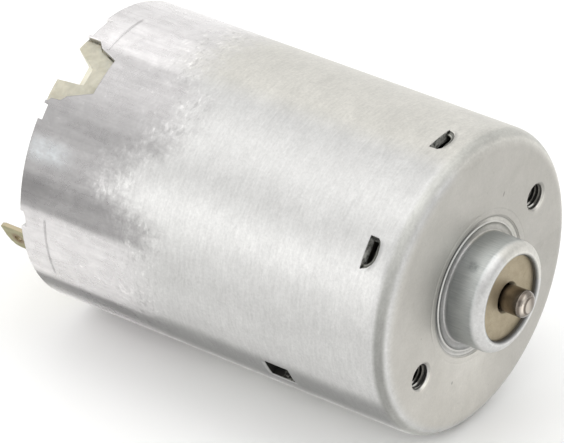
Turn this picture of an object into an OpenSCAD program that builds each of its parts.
// Brushed permanent-magnet DC motor in a drawn steel can.
// Every piece is drawn about a local Z axis that runs out of the shaft end, with the
// front mounting face at Z = 0 and the inside of the motor at negative Z.
// The assembly is then laid down so that the shaft points along -Y and +Z is up.

/* [Can] */
// Outer diameter of the can
can_d = 35.8; // [35:0.1:37]
// Length of the can from the front face to the rear rim
can_len = 50.4; // [49:0.1:60]
// Thickness of the drawn steel wall
wall = 1.2; // [1:0.05:1.3]
// Outer radius of the front corner
corner_r = 2.2; // [1.6:0.1:2.6]
// Angle of the line of mounting holes, seen from the front
clocking = 30.3; // [0:0.1:90]

/* [Front face] */
// Diameter of the pilot boss
boss_d = 13; // [12.6:0.1:13.4]
// Height of the pilot boss above the front face
boss_h = 4.4; // [4:0.1:5]
// Diameter of the circle of mounting holes
hole_pcd = 25; // [24:0.1:26]
// Thread diameter of a mounting hole
hole_d = 3; // [2.5:0.1:3.2]
// Depth of the relief at the root of the boss
groove_depth = 0.4; // [0.3:0.05:0.5]

/* [Shaft and bearings] */
// Diameter of the shaft
shaft_d = 3.175; // [3:0.005:3.2]
// Height of the shaft tip above the front face
shaft_out = 6.9; // [6.4:0.1:16]
// Radial running clearance in the bearings
run_gap = 0.022; // [0.015:0.001:0.05]
// Outer diameter of the front bearing
front_bearing_d = 10; // [9.6:0.1:10.2]
// Outer diameter of the rear bearing
rear_bearing_d = 8; // [7:0.1:8.4]

/* [Magnets and armature] */
// Angle that each magnet arc spans
magnet_arc = 136; // [120:1:140]
// Radial thickness of a magnet
magnet_t = 4.6; // [4:0.1:4.8]
// Radial air gap between magnet and armature
air_gap = 0.45; // [0.3:0.05:0.8]
// Width of an armature tooth
tooth_w = 3.4; // [2.6:0.1:4]
// Number of armature slots and commutator bars
slots = 5; // [3:2:5]

/* [Commutator and brushes] */
// Diameter of the commutator
comm_d = 9.5; // [9:0.1:9.8]
// Width of a brush along the commutator surface
brush_w = 5.1; // [4.6:0.1:5.4]
// Length of a brush along the shaft
brush_h = 4.1; // [3.6:0.1:4.2]
// Tip of the terminals beyond the rear rim
terminal_out = 5.8; // [4:0.1:9]
// Width of a terminal tab
terminal_w = 3.4; // [3:0.1:4.6]

/* [Hidden] */
$fn = 96;
fit_gap = 0.01;           // gap between pressed or glued pieces
over = 1;                 // overrun of a cutter past the face it opens
sides = [0, 180];         // turns of the two members of an opposed pair
key_angle = clocking + 90;  // line of the vents, rim keys and magnet centres

// Radii
can_r = can_d / 2;
inner_r = can_r - wall;   // inside of the can
seat_r = inner_r + 0.3;   // counterbore that takes the end cap
boss_r = boss_d / 2;
pocket_r = front_bearing_d / 2;
shaft_r = shaft_d / 2;
bore_r = shaft_r + fit_gap;  // bore of the pieces carried on the shaft
magnet_r = inner_r - 0.05;
magnet_in = magnet_r - magnet_t;
core_r = magnet_in - air_gap;
comm_r = comm_d / 2;
brush_out = 10.9;         // outer end of a brush
holder_end = 14.3;        // outer end of a brush box
holder_inside = holder_end - 0.4;  // inner face of the end wall of a brush box

// Places along the shaft
rim = -can_len;           // rear rim of the can
seat = rim + 3.5;         // step on which the end cap rests
cap_in = rim + 3.0;       // inner face of the end-cap plate
cap_out = rim + 1.0;      // outer face of the end-cap plate
bear_front = rim + 0.28;  // inner face of the rear bearing
bear_rear = rim - 3.55;
core_front = -11.5;
core_rear = rim + 13.9;
magnet_front = -8.5;
magnet_rear = rim + 11.9;
brush_z = rim + 5.4;      // middle of the brushes
terminal_front = brush_z + 1.4;
front_tube_end = core_front + 4.6;  // front end of the front insulator's tube

// Colours shared by several nodes
bronze = [0.63, 0.56, 0.44];
magnet_grey = [0.20, 0.20, 0.21];
clip_steel = [0.55, 0.57, 0.60];
terminal_metal = [0.72, 0.70, 0.50];
brass = [0.78, 0.66, 0.36];
carbon = [0.18, 0.17, 0.17];
spring_steel = [0.75, 0.76, 0.78];
braid_copper = [0.72, 0.45, 0.30];
insulator_green = [0.20, 0.42, 0.30];
washer_brown = [0.55, 0.35, 0.20];

// ---- Shared shapes and frames ----

// Lays the assembly down: local Z becomes -Y and local Y becomes +Z.
module lay() { rotate([90, 0, 0]) children(); }

// A frame on the can wall: X along the circumference, Y along the shaft, Z radially outward.
module at_wall(angle) { rotate([0, 0, angle]) rotate([90, 0, 90]) children(); }

// A radial block whose outline is [angle in degrees, z] points, the angles taken at radius r.
module wall_block(angle, points, inner, outer, r = can_r) {
  at_wall(angle) translate([0, 0, inner]) linear_extrude(outer - inner)
    polygon([for (p = points) [r * sin(p[0]), p[1]]]);
}

// Turns [angle, height above the rim] points into [angle, z] points.
function above_rim(points) = [for (p = points) [p[0], rim + p[1]]];

// Everything inside one angular sector.
module sector(start, end, rear, front) {
  reach = 30;
  steps = 8;
  translate([0, 0, rear]) linear_extrude(front - rear)
    polygon(concat([[0, 0]], [for (i = [0:steps])
      let (angle = start + (end - start) * i / steps) reach * [cos(angle), sin(angle)]]));
}

module ring(inner, outer, rear, front) {
  translate([0, 0, rear]) difference() {
    cylinder(r = outer, h = front - rear);
    translate([0, 0, -over]) cylinder(r = inner, h = front - rear + 2 * over);
  }
}

// A box that runs outward from the shaft at the given angle.
module radial_box(angle, inner, outer, width, rear, front) {
  rotate([0, 0, angle]) translate([inner, -width / 2, rear])
    cube([outer - inner, width, front - rear]);
}

// ---- Can ----

boss_round = 1.15;        // radius of the outer edge of the boss
inner_corner_r = 1;
bead_centre = boss_r + 0.9;
thread_r = hole_d / 2;
collar_drop = 1.4;        // reach of a thread collar behind the front wall
window_angle = clocking + 1.7;
window_half = 4.6;        // half the angle of a window
window_front = -14.3;
window_rear = -17.5;
tongue_w = 1.25;

// One D-shaped vent as [angle from the key line, z]:
// steep on the side nearer the key line, bowed towards the front.
vent_outline = [[19.8, -4.75], [19.9, -3.7], [20.9, -3.35], [22.7, -3.18], [25.4, -3.1],
  [27.6, -3.2], [29.4, -3.45], [31.0, -3.9], [32.1, -4.75]];

// Notch for a key of the end cap: [angle from the key line, height above the rim].
rim_notch = [[-13.2, -1], [-13.2, 1.9], [-10.5, 2.7], [-7.4, 5.3], [7.8, 5.4],
  [12.1, 2.4], [14.2, 1.85], [14.6, 0.6], [15.9, 0.27], [15.9, -1]];

// Staked recesses in the rim: [start, end] angle from the key line, height above the rim.
// The last one is the deeper corner where the stake sheared the rim.
rim_recesses = [[-24.3, -14.2, 0.45], [17.1, 23.1, 0.6], [-24.7, -23.9, 0.85]];

// Sloping recess: [angle from its own middle, height above the rim].
far_recess_angle = 62;    // from the key line
far_recess = [[-3.4, -1], [-3.4, 0.42], [-1.2, 0.66], [3.3, 0.76], [3.3, -1]];

// Spans of angle from the key line.
witness_spans = [[-32, -11], [59, 85]];
lip_spans = [[-23.6, -15], [17.5, 22.5], [59.2, 64.8]];

// Half section of a round post whose front edge is rounded.
module rounded_post(radius, rear, front, rounding) {
  translate([0, rear]) {
    square([radius, front - rear - rounding]);
    square([radius - rounding, front - rear]);
  }
  translate([radius - rounding, front - rounding]) circle(r = rounding);
}

module can_profile() {
  difference() {
    union() {
      rounded_post(can_r, rim, 0, corner_r);
      rounded_post(boss_r, -1, boss_h, boss_round);
    }
    // inside of the cup
    difference() {
      rounded_post(inner_r, rim - over, -wall, inner_corner_r);
      // bead pushed inward behind the relief groove
      translate([bead_centre, -wall]) circle(r = 0.5);
      translate([pocket_r - 1, -wall - 0.35]) square([bead_centre - pocket_r + 1, 1]);
    }
    // counterbore for the end cap
    translate([0, rim - over]) square([seat_r, seat - rim + over]);
    // bearing pocket with a small lead-in
    translate([-1, -wall - 2]) square([pocket_r + 1, boss_h + wall + 3]);
    translate([pocket_r, boss_h])
      polygon([[-0.1, 0.1], [0.3, 0.1], [0.2, 0], [0, -0.2], [-0.1, -0.2]]);
    // stepped relief at the boss root: rounded channel, sharp ridge, then a shallower trough
    translate([boss_r, -0.1]) square([1.78, 0.5]);
    translate([boss_r + 0.5, 0.55 - groove_depth]) circle(r = 0.5);
    translate([boss_r + 1.35, 0.58 - groove_depth]) circle(r = 0.42);
    // faint pressed ring around the relief
    translate([boss_r + 2.5, 0.27]) circle(r = 0.3);
  }
}

module at_holes() {
  for (side = sides) rotate([0, 0, clocking + side]) translate([hole_pcd / 2, 0, 0]) children();
}

module threaded_hole() {
  translate([0, 0, -wall - 2]) cylinder(r = thread_r, h = wall + 3);
  translate([0, 0, -0.2]) cylinder(r1 = thread_r, r2 = thread_r + 0.3, h = 0.3);
}

// Openings in the wall and rim on one side of the can.
module wall_cuts(side) {
  key = key_angle + side;
  for (s = [-1, 1])
    wall_block(key, [for (p = vent_outline) [s * p[0], p[1]]], inner_r - 3, can_r + 2);
  wall_block(window_angle + side, [[-window_half, window_rear], [-window_half, window_front],
    [window_half, window_front], [window_half, window_rear]], inner_r - 1, can_r + 2);
  wall_block(key, above_rim(rim_notch), inner_r - 1.5, can_r + 2);
  for (recess = rim_recesses)
    sector(key + recess[0], key + recess[1], rim - over, rim + recess[2]);
  wall_block(key + far_recess_angle, above_rim(far_recess), inner_r - 1, can_r + 2);
  // witness lines of the inner step
  for (span = witness_spans)
    rotate([0, 0, key + span[0]]) rotate_extrude(angle = span[1] - span[0])
      translate([can_r + 0.06, seat]) circle(r = 0.16, $fn = 24);
}

// Staked lips folded over the end cap.
module staked_lips(side) {
  for (span = lip_spans) intersection() {
    ring(seat_r - 0.9, seat_r + 0.3, cap_out - 0.52, cap_out - 0.02);
    sector(key_angle + side + span[0], key_angle + side + span[1], cap_out - 1, cap_out + 1);
  }
}

// Lanced tongue bent inward from the front edge of a window, drawn as [-radius, z].
module window_tongue(side) {
  at_wall(window_angle + side) translate([0.1, 0, 0]) rotate([0, 90, 0])
    linear_extrude(tongue_w) translate([-inner_r, 0])
      polygon([[-0.7, -14.1], [-0.1, -14.1], [1.7, -15.3], [1.3, -15.8]]);
}

module motor_can() {
  color([0.80, 0.80, 0.78]) lay() {
    difference() {
      union() {
        rotate_extrude() can_profile();
        // extruded collars that carry the threads
        at_holes() translate([0, 0, -wall - collar_drop])
          cylinder(r = thread_r + 0.8, h = collar_drop + 0.2);
      }
      at_holes() threaded_hole();
      for (side = sides) wall_cuts(side);
    }
    for (side = sides) {
      staked_lips(side);
      window_tongue(side);
    }
  }
}

// ---- Bearings ----

// A plain bush whose bore flares at both ends.
module bearing(outer_r, rear, front) {
  flare = 0.4;  // height of each flare cone, and how far it widens the bore
  difference() {
    translate([0, 0, rear]) cylinder(r = outer_r, h = front - rear);
    translate([0, 0, rear - over]) cylinder(r = shaft_r + run_gap, h = front - rear + 2 * over);
    translate([0, 0, front - 0.3]) cylinder(r1 = shaft_r, r2 = shaft_r + flare, h = flare);
    translate([0, 0, rear - 0.1]) cylinder(r1 = shaft_r + flare, r2 = shaft_r, h = flare);
  }
}

module front_bearing() {
  color(bronze) lay() bearing(pocket_r - fit_gap, -wall, boss_h - 0.6);
}

module rear_bearing() {
  color(bronze) lay() bearing(rear_bearing_d / 2, bear_rear + fit_gap, bear_front - fit_gap);
}

// A thin ring notched around its outer edge.
module bearing_retainer() {
  notches = 8;
  notch_w = 0.7;
  rear = bear_front + fit_gap;
  color([0.72, 0.73, 0.75]) lay() difference() {
    ring(3.3, 5.2, rear, rear + 0.3);
    for (i = [0:notches - 1]) radial_box(i * 360 / notches, 4.75, 6.75, notch_w, rim - 1, rim + 4);
  }
}

// ---- Field ----

module magnet(side) {
  middle = key_angle + side;
  lay() intersection() {
    ring(magnet_in, magnet_r, magnet_rear, magnet_front);
    sector(middle - magnet_arc / 2, middle + magnet_arc / 2, magnet_rear - 1, magnet_front + 1);
  }
}
module magnet_a() { color(magnet_grey) magnet(0); }
module magnet_b() { color(magnet_grey) magnet(180); }

// A folded spring: two legs that lie against the magnet ends and a bow between them.
module magnet_clip(side) {
  middle = clocking + side;
  half_gap = 90 - magnet_arc / 2;  // half the angle between the magnets
  rear = magnet_rear + 0.5;
  front = -19;
  leg_t = 0.5;
  bow_len = 6;
  bow_trim = 0.12;                 // angle by which the bow stops short of the magnets
  lay() intersection() {
    union() {
      for (s = [-1, 1]) rotate([0, 0, middle + s * half_gap]) mirror([0, s > 0 ? 1 : 0, 0])
        translate([magnet_in + 0.6, 0.03, rear]) cube([magnet_t - 0.9, leg_t, front - rear]);
      intersection() {
        ring(magnet_r - 0.9, magnet_r - 0.4, rear, rear + bow_len);
        sector(middle - half_gap + bow_trim, middle + half_gap - bow_trim, rear, rear + bow_len);
      }
    }
    sector(middle - half_gap, middle + half_gap, rear - 1, front + 1);
  }
}
module magnet_clip_a() { color(clip_steel) magnet_clip(0); }
module magnet_clip_b() { color(clip_steel) magnet_clip(180); }

// ---- End cap ----

hub_rear = rim - 4.0;
hub_r = 7;
hub_chamfer = 0.5;
hub_hollow_r = 5.3;       // wide front part of the hub's bore
shaft_opening_r = 2.8;
key_r = can_r - 0.7;      // outer face of the keys
blade_r = 15.05;          // inner face of a terminal blade
blade_t = 0.5;
blade_turn = 5.1;         // the blades stand this far round from the line of mounting holes

// Outlines as [angle from the key line, height above the rim].
// Two ears a little inside the outline of the notch.
key_outline = [[-13.0, -0.03], [-13.0, 1.75], [-10.4, 2.55], [-7.25, 5.12], [7.6, 5.22],
  [11.9, 2.25], [13.9, 1.7], [14.3, 0.45], [15.5, 0.05], [15.6, -0.32],
  [12.8, -0.36], [6.7, -0.34], [-8.2, -0.28], [-14.2, -0.12]];
// The V between the ears, and the wider V at its outer face.
key_v = [[6.7, -0.8], [4.9, 2.19], [-3.3, 1.90], [-9.2, -0.8]];
key_v_wide = [[6.85, -0.8], [5.5, 3.3], [-1.9, 3.05], [-9.2, -0.8]];

module key_block(side, points, inner, outer) {
  wall_block(key_angle + side, above_rim(points), inner, outer, key_r);
}

module cap_body() {
  // plate with a flange around it
  difference() {
    ring(hub_hollow_r, seat_r - 0.03, cap_out, seat - 0.02);
    ring(hub_hollow_r - 0.01, seat_r - 2.2, cap_in, seat + over);
  }
  // collar that reaches forward inside the can
  ring(15.75, inner_r - 0.08, seat - 0.03, rim + 7.4);
  // bearing hub
  ring(shaft_opening_r, hub_r, hub_rear, cap_in);
  for (side = sides) {
    // ribs that run out from the hub on the rear face
    for (turn = [0, 60])
      radial_box(key_angle + side + turn, 6.5, 12, 1.0, rim - 0.4, cap_out + 0.2);
    // key that fills the rim notch
    intersection() {
      ring(15.0, key_r, rim - 1.1, rim + 5.3);
      key_block(side, key_outline, 10, 25);
    }
    // wider foot of the key, under the steel
    intersection() {
      ring(14.9, seat_r - 0.05, rim - 0.1, cap_out + 0.1);
      sector(key_angle + side - 14.7, key_angle + side + 16.9, rim - 1, cap_out + 1);
    }
  }
}

// Hollow of the hub: commutator end, bearing seat, shaft opening.
module hub_bore() {
  depth = 20;
  translate([0, 0, bear_front]) cylinder(r = hub_hollow_r, h = depth);
  translate([0, 0, bear_rear]) cylinder(r = rear_bearing_d / 2 + fit_gap, h = depth);
  translate([0, 0, hub_rear - over]) cylinder(r = shaft_opening_r, h = depth);
}

// Waste around the chamfered rear edge of the hub.
module hub_edge_cut() {
  difference() {
    ring(hub_r - hub_chamfer, hub_r + 1, hub_rear - over, hub_rear + hub_chamfer);
    translate([0, 0, hub_rear]) cylinder(r1 = hub_r - hub_chamfer, r2 = hub_r, h = hub_chamfer);
  }
}

// The V between the ears, cut through the edge of the plate, with a sloping bottom.
module key_v_cut(side) {
  key_block(side, key_v, 14.1, 20);
  hull() {
    key_block(side, key_v, 16.5, 16.55);
    key_block(side, key_v_wide, 17.2, 17.3);
  }
}

module terminal_slot(side) {
  play = 0.06;
  radial_box(clocking + side - blade_turn, blade_r - play, blade_r + blade_t + play,
    terminal_w + 0.1, rim - 2, seat + 3);
}

module air_openings(side) {
  half = 11;  // half the angle of an opening
  for (turn = [-40, 40]) intersection() {
    ring(9, 13.6, rim, cap_in + over);
    sector(clocking + side + turn - half, clocking + side + turn + half, rim, cap_in + over);
  }
}

module end_cap() {
  color([0.86, 0.84, 0.76]) lay() difference() {
    cap_body();
    hub_bore();
    hub_edge_cut();
    for (side = sides) {
      key_v_cut(side);
      terminal_slot(side);
      air_openings(side);
    }
  }
}

// A flat tab that runs from the brush box out through the end cap.
module terminal(side) {
  half_w = terminal_w / 2;
  tip = rim - terminal_out;
  hole_z = tip + 2.05;
  plate_x = holder_end + 0.02;
  shelf_t = 0.5;
  plate_h = 2.6;
  lay() rotate([0, 0, clocking + side]) {
    // blade with a slanted tip, pierced near its end
    rotate([0, 0, -blade_turn]) difference() {
      translate([blade_r, 0, 0]) rotate([90, 0, 90]) linear_extrude(blade_t)
        polygon([[-half_w, terminal_front], [-half_w, tip + 0.55], [-half_w + 0.25, tip],
          [0.1, tip + 0.28], [half_w - 0.75, tip + 0.62], [half_w - 0.2, tip + 1.15],
          [half_w, tip + 1.8], [half_w, terminal_front]]);
      translate([blade_r - 1, 0, hole_z]) rotate([0, 90, 0]) cylinder(r = 0.45, h = 3);
    }
    // shelf that joins the blade to the plate
    translate([plate_x, -2.4, terminal_front - shelf_t])
      cube([blade_r - holder_end + 0.12, 3.0, shelf_t]);
    // plate at the end of the brush box
    translate([plate_x, -1.6, terminal_front - plate_h]) cube([0.3, 3.2, plate_h]);
  }
}
module terminal_a() { color(terminal_metal) terminal(0); }
module terminal_b() { color(terminal_metal) terminal(180); }

// ---- Brush gear ----

module brush_holder(side) {
  angle = clocking + side;
  inside_w = brush_w + 0.1;
  inside_h = brush_h + 0.1;
  rear = brush_z - inside_h / 2;
  front = brush_z + inside_h / 2;
  foot_w = 1.8;
  lay() difference() {
    union() {
      radial_box(angle, 5.95, holder_end, inside_w + 0.8, rear - 0.3, front + 0.4);
      // feet on the end-cap plate
      for (s = [-1, 1]) rotate([0, 0, angle])
        translate([8, s * (inside_w + foot_w) / 2 - foot_w / 2, cap_in + 0.02])
          cube([4, foot_w, 0.3]);
    }
    radial_box(angle, 5, holder_inside, inside_w, rear, front);
    // slot for the lead
    radial_box(angle, 9, 12.6, 1.4, brush_z, brush_z + 5);
  }
}
module brush_holder_a() { color(brass) brush_holder(0); }
module brush_holder_b() { color(brass) brush_holder(180); }

// The inner end is hollowed to follow the commutator.
module brush(side) {
  lay() difference() {
    radial_box(clocking + side, comm_r - 1.5, brush_out, brush_w,
      brush_z - brush_h / 2, brush_z + brush_h / 2);
    translate([0, 0, brush_z - 5]) cylinder(r = comm_r + 0.03, h = 10);
  }
}
module brush_a() { color(carbon) brush(0); }
module brush_b() { color(carbon) brush(180); }

// A round-wire compression spring along +Z, swept as rings of points along a helix.
module coil_spring(coil_r, wire_r, length, turns) {
  seg = 18;   // rings of points in a turn
  side = 8;   // points in a ring
  last = turns * seg;
  function centre(i) = let (a = 360 * i / seg)
    [coil_r * cos(a), coil_r * sin(a), wire_r + (length - 2 * wire_r) * i / last];
  points = [for (i = [0:last], j = [0:side - 1])
    let (a = 360 * i / seg, b = 360 * j / side)
      centre(i) + wire_r * [cos(b) * cos(a), cos(b) * sin(a), sin(b)]];
  quads = [for (i = [0:last - 1], j = [0:side - 1])
    let (k = (j + 1) % side)
      [i * side + j, i * side + k, (i + 1) * side + k, (i + 1) * side + j]];
  start_cap = [for (j = [side - 1:-1:0]) j];
  end_cap = [for (j = [0:side - 1]) last * side + j];
  polyhedron(points, concat([start_cap], quads, [end_cap]), convexity = 10);
}

module brush_spring(side) {
  play = 0.02;  // at each end
  lay() rotate([0, 0, clocking + side]) translate([brush_out + play, 0, brush_z])
    rotate([0, 90, 0]) coil_spring(coil_r = 1.5, wire_r = 0.2,
      length = holder_inside - brush_out - 2 * play, turns = 4);
}
module brush_spring_a() { color(spring_steel) brush_spring(0); }
module brush_spring_b() { color(spring_steel) brush_spring(180); }

// A braid that leaves the brush through the slot in its box and bends over to the terminal.
module brush_lead(side) {
  wire_r = 0.36;
  bend_r = 1.0;
  rise = 0.9;      // straight length above the brush
  brush_x = 10.0;
  terminal_x = 14.72;
  start = brush_z + brush_h / 2 + fit_gap;
  foot = terminal_front + fit_gap;
  bend_z = start + rise;

  module wire(length) { cylinder(r = wire_r, h = length, $fn = 32); }
  module bend() {
    rotate_extrude(angle = 90) translate([bend_r, 0]) circle(r = wire_r, $fn = 32);
  }

  lay() rotate([0, 0, clocking + side]) {
    translate([brush_x, 0, start]) wire(rise);
    translate([brush_x + bend_r, 0, bend_z]) rotate([90, 0, 0]) rotate([0, 0, 90]) bend();
    translate([brush_x + bend_r, 0, bend_z + bend_r]) rotate([0, 90, 0])
      wire(terminal_x - brush_x - 2 * bend_r);
    translate([terminal_x - bend_r, 0, bend_z]) rotate([90, 0, 0]) bend();
    translate([terminal_x, 0, foot]) wire(bend_z - foot);
  }
}
module brush_lead_a() { color(braid_copper) brush_lead(0); }
module brush_lead_b() { color(braid_copper) brush_lead(180); }

// ---- Rotor ----

slot_r = core_r - 1.6;    // outer end of a winding slot
slot_root = 4.6;          // distance of the slot floor from the axis
slot_mouth_w = 1.8;

module shaft() {
  tip = shaft_out;
  rear = bear_rear + 0.3;
  chamfer = 0.35;
  nose = 0.9;  // length of the rounded nose
  color([0.74, 0.72, 0.68]) lay() rotate_extrude() difference() {
    polygon([[0, rear], [shaft_r - chamfer, rear], [shaft_r, rear + chamfer],
      [shaft_r, tip - nose], [shaft_r - 0.03, tip - 0.72], [shaft_r - 0.12, tip - 0.52],
      [shaft_r - 0.26, tip - 0.35], [shaft_r - 0.45, tip - 0.22], [shaft_r - 0.68, tip - 0.12],
      [0.55, tip - 0.04], [0.25, tip - 0.01], [0, tip]]);
    // oil-stop groove just inside the mouth of the front bearing
    translate([shaft_r - 0.19, boss_h - 1.25]) square([1, 0.67]);
  }
}

module at_slots() {
  for (i = [0:slots - 1]) rotate(360 / slots * i) children();
}

// One winding slot about +X, held back from the slot wall by inset.
module slot_shape(inset) {
  half_tooth = tooth_w / 2 + inset;
  half = 180 / slots;
  // half the slot width at distance x, where the sides run parallel to the teeth
  function half_width(x) =
    (x - half_tooth * sin(half)) / cos(half) * sin(half) - half_tooth * cos(half);
  x0 = slot_root + inset;
  x1 = 12;
  y0 = half_width(x0);
  y1 = half_width(x1);
  intersection() {
    circle(r = slot_r - inset);
    polygon([[x0, -y0], [x0, y0], [x1, y1], [x1, -y1]]);
  }
}

// A disc with every slot and its mouth cut out.
module slotted_disc(radius) {
  difference() {
    circle(r = radius);
    at_slots() {
      slot_shape(0);
      translate([core_r - 2.6, -slot_mouth_w / 2]) square([4, slot_mouth_w]);
    }
  }
}

module armature_core() {
  color([0.50, 0.50, 0.50]) lay() translate([0, 0, core_rear])
    linear_extrude(core_front - core_rear) difference() {
      slotted_disc(core_r);
      circle(r = bore_r);
    }
}

// A slotted disc on the end of the core, with a tube around the shaft.
module insulator(rear, front, tube_rear, tube_front) {
  lay() difference() {
    union() {
      translate([0, 0, rear]) linear_extrude(front - rear) slotted_disc(core_r - 0.3);
      translate([0, 0, tube_rear]) cylinder(r = 3, h = tube_front - tube_rear);
    }
    translate([0, 0, rim]) cylinder(r = bore_r, h = can_len);
  }
}
module front_insulator() {
  color(insulator_green)
    insulator(core_front + fit_gap, core_front + 0.5, core_front + 0.2, front_tube_end);
}
module rear_insulator() {
  color(insulator_green)
    insulator(core_rear - 0.5, core_rear - fit_gap, core_rear - 3.4, core_rear - 0.2);
}

module slot_liners() {
  overhang = 0.9;  // beyond each end of the core
  mouth_w = 1.7;
  color([0.78, 0.72, 0.56]) lay() translate([0, 0, core_rear - overhang])
    linear_extrude(core_front - core_rear + 2 * overhang) at_slots() difference() {
      slot_shape(0.03);
      slot_shape(0.25);
      translate([7, -mouth_w / 2]) square([6, mouth_w]);
    }
}

// Slot fills joined by a ring of end turns at each end of the core.
module armature_winding() {
  overhang = 1.2;     // of the slot fills beyond each end of the core
  turns_gap = 0.95;   // from the core to the end turns
  turns_h = 2.4;
  turns_in = 4.3;     // centres of the rounded edges
  turns_out = 8.7;
  color([0.66, 0.30, 0.14]) lay() {
    translate([0, 0, core_rear - overhang])
      linear_extrude(core_front - core_rear + 2 * overhang) at_slots() slot_shape(0.28);
    for (z = [core_front + turns_gap, core_rear - turns_gap - turns_h])
      translate([0, 0, z]) rotate_extrude() {
        translate([turns_in, 0]) square([turns_out - turns_in, turns_h]);
        for (x = [turns_in, turns_out]) translate([x, turns_h / 2]) circle(r = turns_h / 2);
      }
  }
}

module commutator_hub() {
  color([0.24, 0.13, 0.08]) lay() difference() {
    union() {
      translate([0, 0, rim + 0.95]) cylinder(r = comm_r - 1.15, h = 9);
      translate([0, 0, rim + 9.3]) cylinder(r = comm_r - 0.3, h = 0.7);
    }
    translate([0, 0, rim]) cylinder(r = bore_r, h = 20);
  }
}

// Copper segments with a riser hook each, parted by thin slots.
module commutator_bars() {
  color([0.80, 0.50, 0.32]) lay() difference() {
    union() {
      ring(comm_r - 1.14, comm_r, rim + 1.4, rim + 9.28);
      at_slots() radial_box(180 / slots, comm_r - 0.5, comm_r + 1.2, 1.3, rim + 8.3, rim + 9.1);
    }
    at_slots() radial_box(0, 1, 8, 0.35, rim, rim + 12);
  }
}

module front_spacer() {
  color([0.88, 0.87, 0.82]) lay() ring(bore_r, 2.9, front_tube_end + 0.05, -wall - 1.0);
}
module front_thrust_washer() {
  color(washer_brown) lay() ring(bore_r, 3.2, -wall - 0.95, -wall - 0.45);
}
module rear_thrust_washer() {
  color(washer_brown) lay() ring(bore_r, 3.0, rim + 0.33, rim + 0.9);
}

motor_can();
front_bearing();
magnet_a();
magnet_b();
magnet_clip_a();
magnet_clip_b();
end_cap();
rear_bearing();
bearing_retainer();
terminal_a();
terminal_b();
brush_holder_a();
brush_holder_b();
brush_a();
brush_b();
brush_spring_a();
brush_spring_b();
brush_lead_a();
brush_lead_b();
shaft();
armature_core();
front_insulator();
rear_insulator();
slot_liners();
armature_winding();
commutator_hub();
commutator_bars();
front_spacer();
front_thrust_washer();
rear_thrust_washer();
